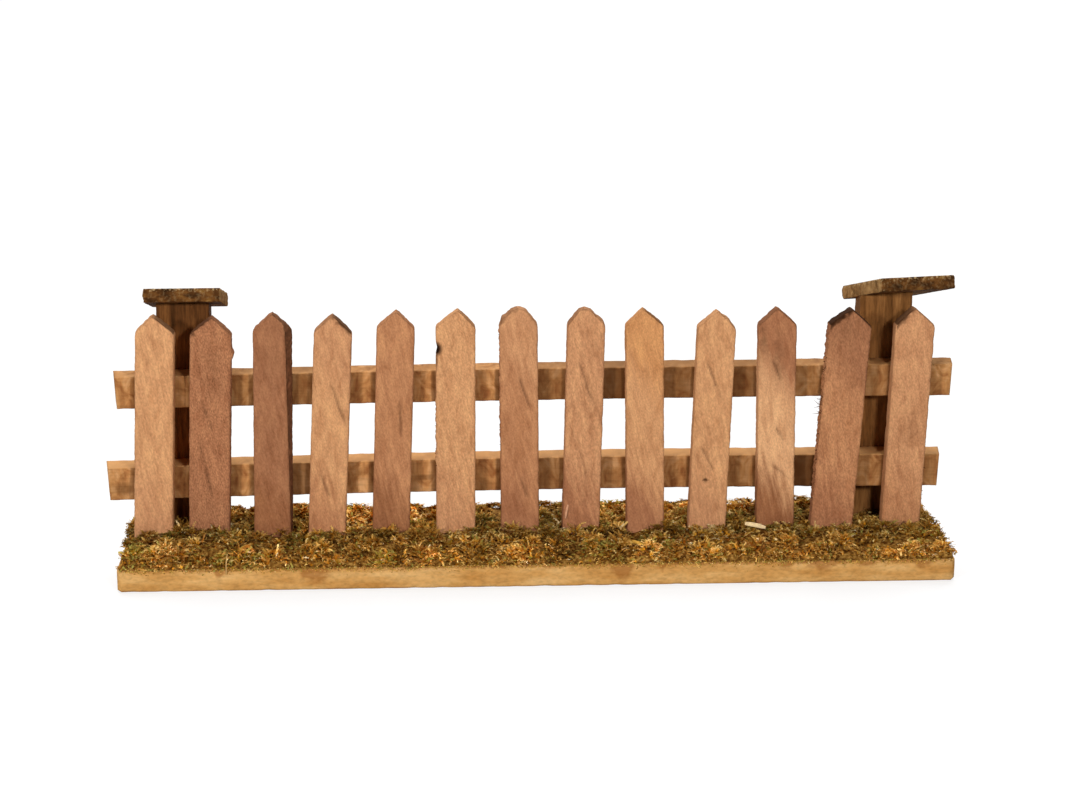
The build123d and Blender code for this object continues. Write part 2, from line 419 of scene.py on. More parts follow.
def stained_lime(level):
    """Lime under a yellow-brown stain: saw marks across the strip, blotches, painted picket shadows, a
    painted golden highlight on top.
    """
    made, tree, shader = blank_material(f"stained_lime_{level}", 0.65)
    band = grains(tree, (2.4, 4.0, 3.6), 5.0, distortion=1.2)
    body = add(tree, "ValToRGB", {"Fac": band}, [(0.3, "#945C32"), (0.5, "#BE8650"), (0.7, "#D8A36E")])
    saw_mark = grains(tree, (0.6, 4.0, 4.0), 3.0)
    sawn = shaded(tree, body, saw_mark, 0.55, [(0.3, grey(0.72)), (0.65, grey(1.1))])
    fibre = grains(tree, (4.0, 0.4, 0.4), 3.0)
    grained = shaded(tree, sawn, fibre, 0.7, [(0.3, grey(0.8)), (0.6, grey(1.05))])
    # The stain mark holds the darker stretches and knots, and also the painted shadows of the pickets.
    stain_and_picket_shadow = add(tree, "Attribute", {}, out="Fac", attribute_name="stain")
    stained = add(tree, "Mix", {0: stain_and_picket_shadow, 6: grained, 7: linear("#4C2A0F")}, **laid_over)
    # Painted highlight: the faces that look up are painted golden.
    upward = add(tree, "SeparateXYZ", {0: add(tree, "TexCoord", {}, out="Normal")}, out="Z")
    top = add(tree, "MapRange", {"Value": upward, "From Min": 0.4, "From Max": 0.9,
                                 "To Max": top_highlight_share[level]})
    golden = add(tree, "Mix", {0: top, 6: stained, 7: linear("#D6A066")}, **laid_over)
    dress(tree, shader, golden, saw_mark, 0.4, 0.12 * MM)
    return made


def feet_and_shoulders(node):
    """The corners of a picket's back at its foot and under its gable, each pair from left to right."""
    spots = corner_spots(node)
    rear = spots[spots[:, 1] > spots[:, 1].max() - same_plane]
    rear = rear[np.argsort(rear[:, 2])]
    return [pair[np.argsort(pair[:, 0])] for pair in (rear[:2], rear[2:4])]


def off_centre(across, up, x, z, half_x, half_z):
    """How far each place is from the middle of an oval: 0 in the middle, 1 on its rim, and more outside."""
    return ((across - x) / half_x) ** 2 + ((up - z) / half_z) ** 2


for level, seed in rail_seeds.items():
    node = f"{level}_rail"
    spots = corner_spots(node)
    count = int((spots[:, 0].max() - spots[:, 0].min()) / rail_station)
    runs = []
    for y in (spots[:, 1].min(), spots[:, 1].max()):
        face = spots[np.abs(spots[:, 1] - y) < same_plane]
        upper = face[:, 2] > np.polyval(np.polyfit(face[:, 0], face[:, 2], 2), face[:, 0])
        for chain in (face[~upper], face[upper]):
            chain = chain[np.argsort(chain[:, 0])]
            x = np.linspace(chain[0, 0], chain[-1, 0], count)
            runs.append(np.stack([x, np.full(count, y), np.interp(x, chain[:, 0], chain[:, 2])], axis=1))
    quads = np.stack([runs[0], runs[1], runs[3], runs[2]], axis=1)
    rings, edge, _ = section(quads, rail_cuts, rail_arris)
    ripple = grain_noise(rings, (2.0, 4.0, 4.0), seed) - 0.5 - 0.4 * edge
    rings += outward(rings) * (rail_ripple * ripple)[..., None]
    across, up = rings[..., 0] / MM, rings[..., 2] / MM
    along = across + 1.5 * grain_noise(rings, (1.5, 3.0, 3.0), seed + 3)
    stain = np.zeros(rings.shape[:2])
    for middle, half, dark in dark_stretches[level]:
        stain = np.maximum(stain, dark * np.exp(-((along - middle) / half) ** 4))
    on_front = rings[..., 1] < spots[:, 1].min() + 0.5 * MM
    # Painted shadow of each picket on the rail's front, left and right of it, laid into the stain mark.
    for picket in (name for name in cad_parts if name.startswith("picket_")):
        feet, shoulders = feet_and_shoulders(picket)
        share = (spots[:, 2].mean() - feet[:, 2]) / (shoulders - feet)[:, 2]
        edges = feet[:, 0] + share * (shoulders - feet)[:, 0]
        for edge_x, way, (run, dark) in zip(edges, (-1, 1), picket_shadow_beside):
            off = way * (rings[..., 0] - edge_x) / MM
            stain = np.maximum(stain, dark * np.clip(1.4 * (1 - off / run), 0, 1) * (off > -0.5) * on_front)
    for *oval, dark in rail_knots[level]:
        stain = np.maximum(stain, dark * np.clip(1.4 - off_centre(across, up, *oval), 0, 1) * on_front)
    strip = loft(f"{node}_strip", rings, {"stain": 0.82 * stain})
    set_piece(strip, stained_lime(level), node)


# The pickets: strips of steamed beech, sawn thin, cut to a gable and glued on the rails one by one.
# The saw left furry edges, and a slipping blade left long slanting scars across some of the faces.
picket_station = 0.26 * MM
picket_cuts = (28, 7, 8, 7)
picket_arris = 0.25 * MM
edge_tear = 0.16 * MM
tip_wear = 0.25 * MM
tooth_depth = 0.17 * MM
scar_depth = 0.2 * MM
scar_width = 0.6 * MM
# How dark a scar is painted: painted shade in its groove and along its soft side.
scar_shade = 0.52
streak_slant = math.radians(14)
beech = {"blond": "#DAA476", "straw": "#CE9668", "tan": "#C58D63", "rose": "#B98058", "russet": "#A9714E",
         "clay": "#A06B4A", "umber": "#986341", "amber": "#CB8F5C"}
# The tone of each picket at its tip, half way up and at its foot, from left to right; the darker feet are
# partly painted shade near the moss.
picket_tones = [
    "straw straw tan", "russet russet clay", "clay clay umber", "tan straw rose", "rose rose umber",
    "straw straw tan", "tan rose russet", "tan tan russet", "amber straw russet", "straw straw tan",
    "russet blond umber", "clay rose russet", "tan tan rose",
]
# How many times rougher than the others the saw left some of the faces.
saw_fuzz = {2: 2.2, 6: 1.2, 8: 1.2, 12: 1.4, 13: 1.2}
# Each scar runs down to the right: across and up from the picket's foot at its start and at its end, in mm.
scars = {
    2: [(-1.8, 27.3, 0.5, 21.5), (-2.2, 20.4, 0.6, 8.6)],
    4: [(-0.4, 30.7, 3.0, 21.9), (-1.7, 13.4, 0.4, 8.7)],
    5: [(0.9, 27.0, 1.4, 20.0)],
    7: [(-0.3, 31.7, 2.2, 24.2), (0.0, 12.2, 1.6, 8.3)],
    8: [(-1.4, 34.0, 2.1, 24.4), (-0.8, 17.4, 0.7, 12.0)],
    10: [(-1.6, 33.6, 1.4, 26.2), (-2.0, 17.8, 0.8, 12.8)],
    11: [(-1.0, 33.6, 0.8, 29.6), (-0.2, 21.2, 1.2, 18.4), (-0.9, 14.2, 2.9, 10.6)],
}
# Knots and bruises: across, up, half width, half height in mm, how dark, and how deep in mm.
knots = {
    6: [(-3.5, 36.2, 1.1, 1.3, 1.0, 0.4), (-3.5, 34.2, 0.35, 1.6, 0.5, 0.1)],
    10: [(-0.7, 11.3, 0.55, 0.32, 0.9, 0.2)],
}
# Soft dark patches on the faces: across and up from the foot, half width, half height in mm, and how dark.
patches = {
    2: [(0.3, 33.0, 1.8, 5.0, 0.2)],
    3: [(0.0, 34.0, 2.0, 4.0, 0.1)],
    11: [(-2.7, 37.5, 0.9, 4.0, 0.3), (0.2, 34.0, 1.1, 4.5, 0.28)],
    12: [(-0.4, 39.5, 2.4, 2.6, 0.16)],
    13: [(0.6, 20.0, 1.6, 4.0, 0.1)],
}
# Edges that the saw tore: the side, and from where to where up the picket in mm.
toothed_edges = {6: (-1, 15, 27), 7: (-1, 18, 40), 12: (-1, 4, 42)}
# Burrs on an edge: the side, how far up, half the height and how far out, in mm.
burrs = {2: [(1, 35.6, 0.8, 0.45)], 6: [(-1, 36.3, 0.9, -0.25)], 7: [(-1, 41.6, 0.5, 0.4)],
         8: [(1, 41.0, 0.7, 0.2)], 10: [(1, 41.0, 0.5, 0.3)]}
# How dark the stain is on the left and the right slope of each gable.
gable_stain = [
    (0.1, 0.75), (0.8, 0.35), (0.1, 0.3), (0.35, 0.8), (0.1, 0.2), (0.1, 0.35), (0.4, 0.15),
    (0.4, 0.3), (0.05, 0.6), (0.1, 0.3), (0.45, 0.4), (1.0, 0.95), (0.85, 0.3),
]
# How far the stain ran down the face under the left and the right slope, in mm.
stain_runs = {1: (0.0, 0.3), 2: (0.7, 0.2), 4: (0.3, 0.55), 7: (0.4, 0.1), 9: (0.0, 0.2), 11: (0.3, 0.1),
              12: (1.1, 0.15), 13: (0.9, 0.2)}
# The picket whose bevel is stained, and the side of its section that the bevel is.
stained_sides = {3: 1}


def steamed_beech(number):
    """Steamed beech, sawn: reddish tan, felted by the saw, with slanting streaks and stain on the gable."""
    made, tree, shader = blank_material(f"steamed_beech_{number:02d}", 0.8)
    seed, fuzz = 3.7 * number, saw_fuzz.get(number, 1.0)
    slanted = add(tree, "VectorRotate", {"Vector": in_grains(tree, (1, 1, 1), seed), "Angle": streak_slant},
                  rotation_type="Y_AXIS")
    along = add(tree, "VectorMath", {0: slanted, 1: (1.8, 1.8, 0.18)}, operation="MULTIPLY")
    streak = add(tree, "TexNoise", {"Vector": along, "Scale": 1.0, "Detail": 4.0, "Distortion": 0.3})
    place = add(tree, "SeparateXYZ", {0: add(tree, "TexCoord", {}, out="Object")}).node.outputs
    slant = add(tree, "Math", {0: place["X"], 1: 1.1, 2: place["Z"]}, operation="MULTIPLY_ADD")
    wander = add(tree, "Math", {0: streak, 1: 10 * MM, 2: slant}, operation="MULTIPLY_ADD")
    height = add(tree, "MapRange", {"Value": wander, "From Min": 5 * MM, "From Max": 48 * MM})
    tip, middle, foot = (beech[tone] for tone in picket_tones[number - 1].split())
    body = add(tree, "ValToRGB", {"Fac": height}, [(0.14, foot), (0.34, middle), (0.62, middle), (0.8, tip)])
    mottle = grains(tree, (1.5, 1.5, 3.8), 4.0, seed, 0.6)
    mottled = shaded(tree, body, mottle, 0.8, [
        (0.3, (0.8, 0.74, 0.7, 1)), (0.5, grey(1.0)), (0.7, (1.15, 1.2, 1.18, 1))])
    streaked = shaded(tree, mottled, streak, 0.65, [
        (0.3, (0.8, 0.76, 0.74, 1)), (0.5, grey(1.0)), (0.7, (1.14, 1.16, 1.14, 1))])
    strokes = add(tree, "VectorMath", {0: slanted, 1: (4.4, 4.4, 2.3)}, operation="MULTIPLY")
    felt = add(tree, "TexNoise", {"Vector": strokes, "Scale": 1.0, "Detail": 3.0})
    felted = shaded(tree, streaked, felt, 0.9, [
        (0.3, grey(1 - 0.19 * fuzz)), (0.5, grey(1.0)), (0.7, grey(1 + 0.18 * fuzz))])
    burn = add(tree, "Attribute", {}, out="Fac", attribute_name="end_grain")
    burnt = add(tree, "Mix", {0: burn, 6: felted, 7: linear("#3A2110")}, **laid_over)
    # Scars are painted dark as shade of their grooves; knots are dark wood.
    scar_shade_mark = add(tree, "Attribute", {}, out="Fac", attribute_name="scar_shade_and_knots")
    scar_shaded = add(tree, "Mix", {0: scar_shade_mark, 6: burnt, 7: linear("#221006")}, **laid_over)
    dress(tree, shader, scar_shaded, felt, 0.35, 0.1 * MM)
    return made


def reach(outline, heights):
    """The left and right limits of a convex outline at each height, with the corners eased."""
    middle = outline.mean(axis=0)
    around = outline[np.argsort(np.arctan2(outline[:, 1] - middle[1], outline[:, 0] - middle[0]))]
    limits = np.zeros((2, len(heights)))
    for row, height in enumerate(np.clip(heights, outline[:, 1].min(), outline[:, 1].max())):
        crossed = []
        for (x0, z0), (x1, z1) in zip(around, np.roll(around, -1, axis=0)):
            if z0 != z1 and min(z0, z1) <= height <= max(z0, z1):
                crossed.append(x0 + (x1 - x0) * (height - z0) / (z1 - z0))
        limits[:, row] = min(crossed), max(crossed)
    weights = np.array((1, 2, 3, 2, 1)) / 9
    eased = []
    for run in limits:
        padded = np.concatenate([2 * run[0] - run[2:0:-1], run, 2 * run[-1] - run[-2:-4:-1]])
        eased.append(np.convolve(padded, weights, mode="valid"))
    return eased


picket_feet = []
picket_places = {}
for node in sorted(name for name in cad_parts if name.startswith("picket_")):
    number = int(node[-2:])
    spots = corner_spots(node)
    front, back = spots[:, 1].min(), spots[:, 1].max()
    feet, _ = feet_and_shoulders(node)
    lean = -math.atan2(feet[1, 2] - feet[0, 2], feet[1, 0] - feet[0, 0])
    foot = Vector(((feet[0, 0] + feet[1, 0]) / 2, front, (feet[0, 2] + feet[1, 2]) / 2))
    place = Matrix.LocRotScale(foot, Euler((0, lean, 0)), None)
    picket_places[number] = place
    picket_feet.append((feet[0, 0], feet[1, 0], front, back))
    # The section at each height, in the picket's own frame.
    local = np.array([place.inverted() @ Vector(spot) for spot in spots])
    face, rear = local[local[:, 1] < same_plane], local[local[:, 1] > back - front - same_plane]
    tip, shoulder = rear[:, 2].max(), np.sort(rear[:, 2])[2]
    heights = np.linspace(0, tip - same_plane, int(tip / picket_station))
    worn = np.clip((heights - tip + tip_wear) / tip_wear, 0, 1)
    quads = []
    for outline, y in ((face, 0.0), (rear, back - front)):
        left, right = reach(outline[:, [0, 2]], heights)
        inset = 0.35 * (right - left) * (1 - np.sqrt(1 - 0.96 * worn ** 2))
        depth = np.full_like(heights, y)
        ends = [np.stack([x, depth, heights], axis=1) for x in (left + inset, right - inset)]
        quads += ends if y == 0 else ends[::-1]
    rings, near, sides = section(np.stack(quads, axis=1), picket_cuts, picket_arris)
    up, across = rings[..., 2] / MM, rings[..., 0] / MM
    edge = np.tile(near, (len(heights), 1))
    gable = (rings[..., 2] > shoulder) * 1.0
    crown = rear[rear[:, 2] > shoulder - same_plane]
    crown = crown[np.argsort(crown[:, 0])]
    tip_across = crown[1:3, 0].mean() / MM
    gable_drop = (np.interp(rings[..., 0], crown[:, 0], crown[:, 2]) - rings[..., 2]) / MM
    # Torn edges, teeth and burrs.
    tear = np.minimum(grain_noise(rings, (0.8, 0.8, 0.6), 3.3 * number), 0.2)
    wave = 0.45 * grain_noise(rings, (3.0, 3.0, 2.4), 1.3 * number) * (sides != 0)
    lift = edge_tear * (tear * np.maximum(edge, 0.2 + 0.8 * gable) - 0.2 * edge + wave)
    if number in toothed_edges:
        side, start, end = toothed_edges[number]
        torn = (np.sign(across) == side) & (sides != 0) & (sides != 2) & (up > start) & (up < end)
        teeth = np.abs(grain_noise(rings, (1.2, 1.2, 0.75), 1.9 * number)) * 2.2 - 0.5
        lift = np.where(torn, tooth_depth * np.clip(teeth, -0.6, 1.0), lift)
    for side, level, half_z, out in burrs.get(number, []):
        on_side = (np.sign(across) == side) * (sides % 2 == 1)
        lift = lift + out * MM * np.exp(-((up - level) / half_z) ** 2) * on_side
    rings = rings + outward(rings) * lift[..., None]
    # Scars and knots, which are sunk into the face.
    scar_shade_and_knots = np.zeros(rings.shape[:2])
    on_face = (rings[..., 1] < 0.45 * MM) * 1.0
    for x0, z0, x1, z1 in scars.get(number, []):
        run = np.array((x1 - x0, z1 - z0))
        length = np.linalg.norm(run)
        wobble = 0.2 * grain_noise(rings, (1.6, 1.6, 1.6), 0.7 * number)
        from_start = np.stack([across - x0, up - z0], axis=-1)
        share = from_start @ run / length ** 2
        off = (from_start @ np.array((-run[1], run[0])) / length + wobble) * MM / scar_width
        taper = np.clip(6 * np.minimum(share, 1 - share), 0, 1) * np.clip(1 + 1.5 * wobble / 0.2, 0.55, 1)
        # The groove's painted shade: sharp on one side, soft on the other.
        groove = np.where(off > 0, 1 - off, 1 + 3.5 * off)
        scar_shade_and_knots = np.maximum(scar_shade_and_knots, scar_shade * np.clip(groove, 0, 1) * taper * on_face)
    rings[..., 1] += scar_depth / scar_shade * scar_shade_and_knots * on_face
    for *oval, dark, deep in knots.get(number, []):
        pit = np.clip(1.3 - off_centre(across, up, *oval), 0, 1)
        scar_shade_and_knots = np.maximum(scar_shade_and_knots, dark * pit)
        rings[..., 1] += deep * MM * pit * on_face
    # Stain on the gable's slopes and where it ran down the face.
    half_way = np.clip(0.5 + (across - tip_across) / 1.2, 0, 1)
    slope_stain, stain_run = (left + (right - left) * half_way for left, right in (
        gable_stain[number - 1], stain_runs.get(number, (0.0, 0.0))))
    ragged = np.clip(0.9 + 1.6 * grain_noise(rings, (0.8, 0.8, 0.8), 4.4 * number), 0.1, 2)
    smudge = slope_stain * np.clip(1.3 - gable_drop / (stain_run * ragged + 0.05), 0, 1)
    for *oval, dark in patches.get(number, []):
        soft = np.exp(-off_centre(across, up, *oval)) * np.clip(0.4 + 0.6 * ragged, 0, 1.6)
        smudge = np.maximum(smudge, dark * soft)
    end_grain = slope_stain * gable * (sides % 2 == 1) + 0.1 * edge + smudge * (sides == 0)
    if number in stained_sides:
        bevel = stained_sides[number]
        end_grain = np.maximum(end_grain, (0.5 + 0.5 * tear + 0.5 * edge) * (sides == bevel))
        end_grain = np.maximum(end_grain, 0.8 * (np.roll(sides, 2) == bevel) * (sides == -1))
    strip = loft(f"{node}_strip", rings, {"end_grain": end_grain, "scar_shade_and_knots": scar_shade_and_knots})
    strip.matrix_world = place
    set_piece(strip, steamed_beech(number), node)


# Splinters: hairs of wood that the saw lifted along the torn edges, still held at one end.
# Each is a thin three-sided sliver of the picket's own beech.
splinter_root = 0.11 * MM
# The picket, its side, where up the picket in mm from and to, how many, and how long in mm.
splinter_rows = [
    (12, -1, 22.5, 26.5, 14, 1.7), (12, -1, 6, 34, 50, 0.6), (7, -1, 18, 40, 24, 0.35),
    (6, -1, 14, 30, 16, 0.35), (13, 1, 7, 14, 4, 0.6), (2, 1, 26, 40, 12, 0.3), (3, 1, 10, 40, 10, 0.25),
    (8, 1, 20, 32, 10, 0.3),
]
splinter_sides = ((0, 1, 3), (1, 2, 3), (2, 0, 3), (0, 2, 1))
draw = np.random.default_rng(12)
splinter_points, splinter_faces = [], []
for number, side, low, high, count, length in splinter_rows:
    half = (picket_feet[number - 1][1] - picket_feet[number - 1][0]) / 2
    for _ in range(count):
        root = np.array((side * (half - 0.1 * MM), draw.uniform(0.1, 1.6) * MM, draw.uniform(low, high) * MM))
        aim = unit(np.array((side, draw.normal(0, 0.3), draw.normal(0, 0.55))))
        tip = root + aim * length * MM * draw.uniform(0.5, 1.3)
        turn = draw.uniform(0, 2 * np.pi)
        angles = [turn + corner * 2 * np.pi / 3 for corner in range(3)]
        spots = [root + splinter_root * np.array((0, np.cos(angle), np.sin(angle))) for angle in angles]
        base = len(splinter_points)
        splinter_points += [picket_places[number] @ Vector(spot) for spot in (*spots, tip)]
        splinter_faces += [(base + a, base + b, base + c) for a, b, c in splinter_sides]


def raw_beech_fibre():
    """Loose beech fibre: the same wood, dull and darker, because stain collects in it."""
    made, tree, shader = blank_material("raw_beech_fibre", 0.85)
    fibre = grains(tree, (0.6, 0.6, 0.6), 2.0)
    tone = add(tree, "ValToRGB", {"Fac": fibre}, [(0.35, "#3A2214"), (0.65, "#7A5236")])
    tree.links.new(tone, shader.inputs["Base Color"])
    return made


splinters = new_piece("edge_splinters", splinter_points, splinter_faces)
set_piece(splinters, raw_beech_fibre())


# The moss: dried forest moss, glued to the board in a low bank that hides the pickets' feet.
# A matted bed lies under short curled shoots, each a bent stem with small overlapping leaves.
moss_low, moss_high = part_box("moss_bed")
bed_pitch = 0.5 * MM
bed_sink = 1.5 * MM
bed_lump = 0.7 * MM
pocket_gap = 0.3 * MM
# Over what distance the bank rises from the front, from the back and from the ends.
front_run, back_run, end_run = 9 * MM, 8 * MM, 5.5 * MM


def dried_moss(name, tinted):
    """Dried moss: matt and fibrous, olive to straw to brown from shoot to shoot, dark between them."""
    made, tree, shader = blank_material(name, 0.85)
    shade = grains(tree, (0.7, 0.7, 0.7), 3.0)
    if tinted:
        tone = add(tree, "Attribute", {}, out="Color", attribute_name="tint")
    else:
        tone = add(tree, "ValToRGB", {"Fac": shade}, [(0.35, "#54300A"), (0.52, "#8A6028"), (0.7, "#B48A46")])
    mottled = shaded(tree, tone, shade, 0.7, [(0.3, grey(0.75)), (0.65, grey(1.15))])
    tree.links.new(mottled, shader.inputs["Base Color"])
    return made


post_feet = []
for side in post_seeds:
    foot, _ = eight_corners(f"{side}_post", (0, 0, 1))
    post_feet.append((foot[:, 0].min(), foot[:, 0].max(), foot[:, 1].min(), foot[:, 1].max()))


def standing_in(x, y, clear):
    """Whether each place is within a post or a picket, or closer to it than clear."""
    inside = np.zeros(np.shape(x), bool)
    for x0, x1, y0, y1 in picket_feet + post_feet:
        inside |= (x > x0 - clear) & (x < x1 + clear) & (y > y0 - clear) & (y < y1 + clear)
    return inside


def climb(distance, run):
    """A rounded slope that goes from 0 to 1 over its run."""
    share = np.clip(distance / run, 0, 1)
    return np.sqrt(1 - (1 - share) ** 2)


def bank_height(x, y):
    """The height of the bank over the board: low at the rim, highest along the pickets."""
    crown = moss_high.z - moss_low.z
    rim = 0.22 * crown
    front = rim + (crown - rim) * climb(y - board_low.y, front_run)
    low_back = crown * (0.44 + 0.07 * np.tanh(x / (20 * MM)))
    back = low_back + (crown - low_back) * climb(board_high.y - y, back_run)
    ends = rim + (crown - rim) * climb(np.minimum(x - board_low.x, board_high.x - x), end_run)
    return np.minimum(np.minimum(front, back), ends)


def lumps(x, y, size_mm, seed):
    """Smooth noise over the board, the same size along and across."""
    flat = np.stack([x, y, np.zeros_like(x)], axis=-1)
    return grain_noise(flat, (size_mm,) * 3, seed)


def mound(x, y):
    """The matted bed under the clumps, uneven as it was pressed into the glue by hand."""
    return bank_height(x, y) - bed_sink + bed_lump * (lumps(x, y, 4.0, 0.5) + 0.6 * lumps(x, y, 11.0, 3.5))


bed_x = np.linspace(moss_low.x, moss_high.x, int((moss_high.x - moss_low.x) / bed_pitch))
bed_y = np.linspace(moss_low.y, moss_high.y, int((moss_high.y - moss_low.y) / bed_pitch))
grid_x, grid_y = np.meshgrid(bed_x, bed_y, indexing="ij")
grid_z = mound(grid_x, grid_y) + 0.6 * bed_lump * lumps(grid_x, grid_y, 1.3, 8.5)
pocket = standing_in(grid_x, grid_y, pocket_gap)
grid_z = board_high.z + np.where(pocket, 0.5 * MM, np.maximum(grid_z, 0.35 * MM))
rows, columns = grid_x.shape
bed_points = np.stack([grid_x, grid_y, grid_z], axis=-1).reshape(-1, 3).tolist()
bed_faces = [(r * columns + c, (r + 1) * columns + c, (r + 1) * columns + c + 1, r * columns + c + 1)
             for r in range(rows - 1) for c in range(columns - 1)]
border = [r * columns for r in range(rows)] + [(rows - 1) * columns + c for c in range(1, columns)]
border += [r * columns + columns - 1 for r in range(rows - 2, -1, -1)] + list(range(columns - 2, 0, -1))
skirt = len(bed_points)
bed_points += [(bed_points[k][0], bed_points[k][1], board_high.z) for k in border]
ring_count = len(border)
bed_faces += [(border[k], border[(k + 1) % ring_count], skirt + (k + 1) % ring_count, skirt + k)
              for k in range(ring_count)]
bed_faces.append([skirt + k for k in range(ring_count)])
bed = new_piece("moss_bed_mat", bed_points, bed_faces)
bed.data.shade_smooth()
set_piece(bed, dried_moss("matted_moss", False), "moss_bed")


# The moss's shoots: they arch out of clumps that stand on a loose grid over the board, and some stray.
# Each is a bent stem with a pair of small leaves at every step, brown at the root and paler at the tip.
clump_pitch = 3.4 * MM
shoot_count = 9900
stem_steps = 9
leaf_length = 0.4 * MM
leaf_width = 0.27 * MM
shoot_gap = 0.2 * MM
# Shoots that stray from their clump: how many, and how far they and the others stand out, in girths.
stray_share, stray_reach, clump_reach = 0.3, 1.4, 0.75
# The row of clumps at the front: how much fuller it is, and how many of its shoots stand on the rim.
rim_crowd, rim_share = 1.8, 0.25
# How much of the red, green and blue light a shoot gives back at its root and at its tip; the dark root is
# partly painted shade deep in the clump.
root_shade, tip_shade = (0.6, 0.41, 0.1, 1.0), (0.96, 1.1, 1.6, 1.0)
moss_tints = ["#B88638", "#D4A54C", "#9C742C", "#E0B964", "#845E20", "#A87230", "#9A8838", "#F0D08A",
              "#5A3E16"]
moss_shares = [0.22, 0.18, 0.15, 0.11, 0.09, 0.05, 0.14, 0.02, 0.04]
moss_colours = np.array([linear(tint) for tint in moss_tints])
# How many of the shoots have the tint of their clump.
clump_tint_share = 0.4
# Painted light on the moss behind the pickets, in their shade: the middle along the fence, half the length in
# mm, how much brighter.
painted_light_behind_pickets = [(-28, 14, 1.5), (21, 12, 0.8)]
# The three bands of shoots: the seed, and between which depths.
shoot_bands = {"front": (3, board_low.y, -5 * MM), "middle": (8, -5 * MM, 5 * MM),
               "back": (15, 5 * MM, board_high.y)}
shoot_moss = dried_moss("moss_leaf", True)


def clump_centres(seed):
    """Places and girths of the clumps, on a loose grid over the board."""
    draw = np.random.default_rng(seed)
    columns, rows = (int(span / clump_pitch) for span in (board_high - board_low).xy)
    place_x, place_y = np.meshgrid((np.arange(columns) + 0.5) / columns, (np.arange(rows) + 0.5) / rows)
    x = board_low.x + (board_high.x - board_low.x) * place_x.ravel()
    y = board_low.y + (board_high.y - board_low.y) * place_y.ravel()
    x, y = (side + clump_pitch * draw.uniform(-0.45, 0.45, len(x)) for side in (x, y))
    return x, y, MM * draw.uniform(1.3, 2.6, len(x))


def shoot_roots(draw, low, high):
    """Where the shoots between two depths stand, clear of what stands in the moss.

    Also gives each one's clump, that clump's girth, the way out from its middle and how far out.
    """
    homes = np.flatnonzero((clump_y >= low) & (clump_y < high))
    in_front = clump_y < board_low.y + clump_pitch
    crowd = np.where(in_front[homes], rim_crowd, 1.0)
    home = draw.choice(homes, 2 * shoot_count, p=crowd / crowd.sum())
    girth, spoke = clump_girth[home], draw.uniform(0, 2 * np.pi, len(home))
    span = np.where(draw.uniform(0, 1, len(home)) < stray_share, stray_reach, clump_reach)
    out = span * girth * np.sqrt(draw.uniform(0, 1, len(home)))
    rim = in_front[home] & (draw.uniform(0, 1, len(home)) < rim_share)
    out = np.where(rim, girth, out)
    x, y = clump_x[home] + out * np.cos(spoke), clump_y[home] + out * np.sin(spoke)
    y = np.where(rim, board_low.y + MM * draw.uniform(0.15, 1.8, len(home)), y)
    on_board = (x > board_low.x + shoot_gap) & (x < board_high.x - shoot_gap)
    on_board &= (y > board_low.y + shoot_gap / 2) & (y < board_high.y - shoot_gap)
    free = np.flatnonzero(on_board & ~standing_in(x, y, shoot_gap))[:shoot_count]
    return [value[free] for value in (x, y, home, girth, spoke, out)]


def shoot_stems(draw, x, y, girth, spoke, out):
    """The points of each stem, which sets off outwards and up, bends aside and droops."""
    count = len(x)
    from_back = np.clip((board_high.y - y) / (7 * MM), 0.05, 1)
    from_end = np.clip(np.minimum(x - board_low.x, board_high.x - x) / (3 * MM), 0.75, 1)
    spread = np.minimum(out / girth, 1)
    dome = 0.5 * girth * (1 - spread**2) * from_end * np.clip(2 * from_back, 0.2, 1)
    base = board_high.z + np.maximum(mound(x, y) + dome, 0.1 * MM)
    heading = spoke + draw.normal(0, 1.1, count)
    steep = (1.3 - 0.8 * spread) * draw.uniform(0.5, 1.1, count) * from_back
    length = girth * draw.uniform(0.4, 0.9, count) * from_end * np.clip(2 * from_back, 0.4, 1)
    bend = draw.normal(0, 1.3, count)
    droop = draw.uniform(0.4, 1.7, count)
    stem = np.zeros((count, stem_steps, 3))
    spot = np.stack([x, y, base], axis=1)
    for step in range(stem_steps):
        share = step / (stem_steps - 1)
        turn, rise = heading + bend * share, steep - droop * share
        stem[:, step] = spot
        stride = np.stack([np.cos(turn) * np.cos(rise), np.sin(turn) * np.cos(rise), np.sin(rise)], axis=1)
        spot = spot + stride * (length / (stem_steps - 1))[:, None]
    return stem


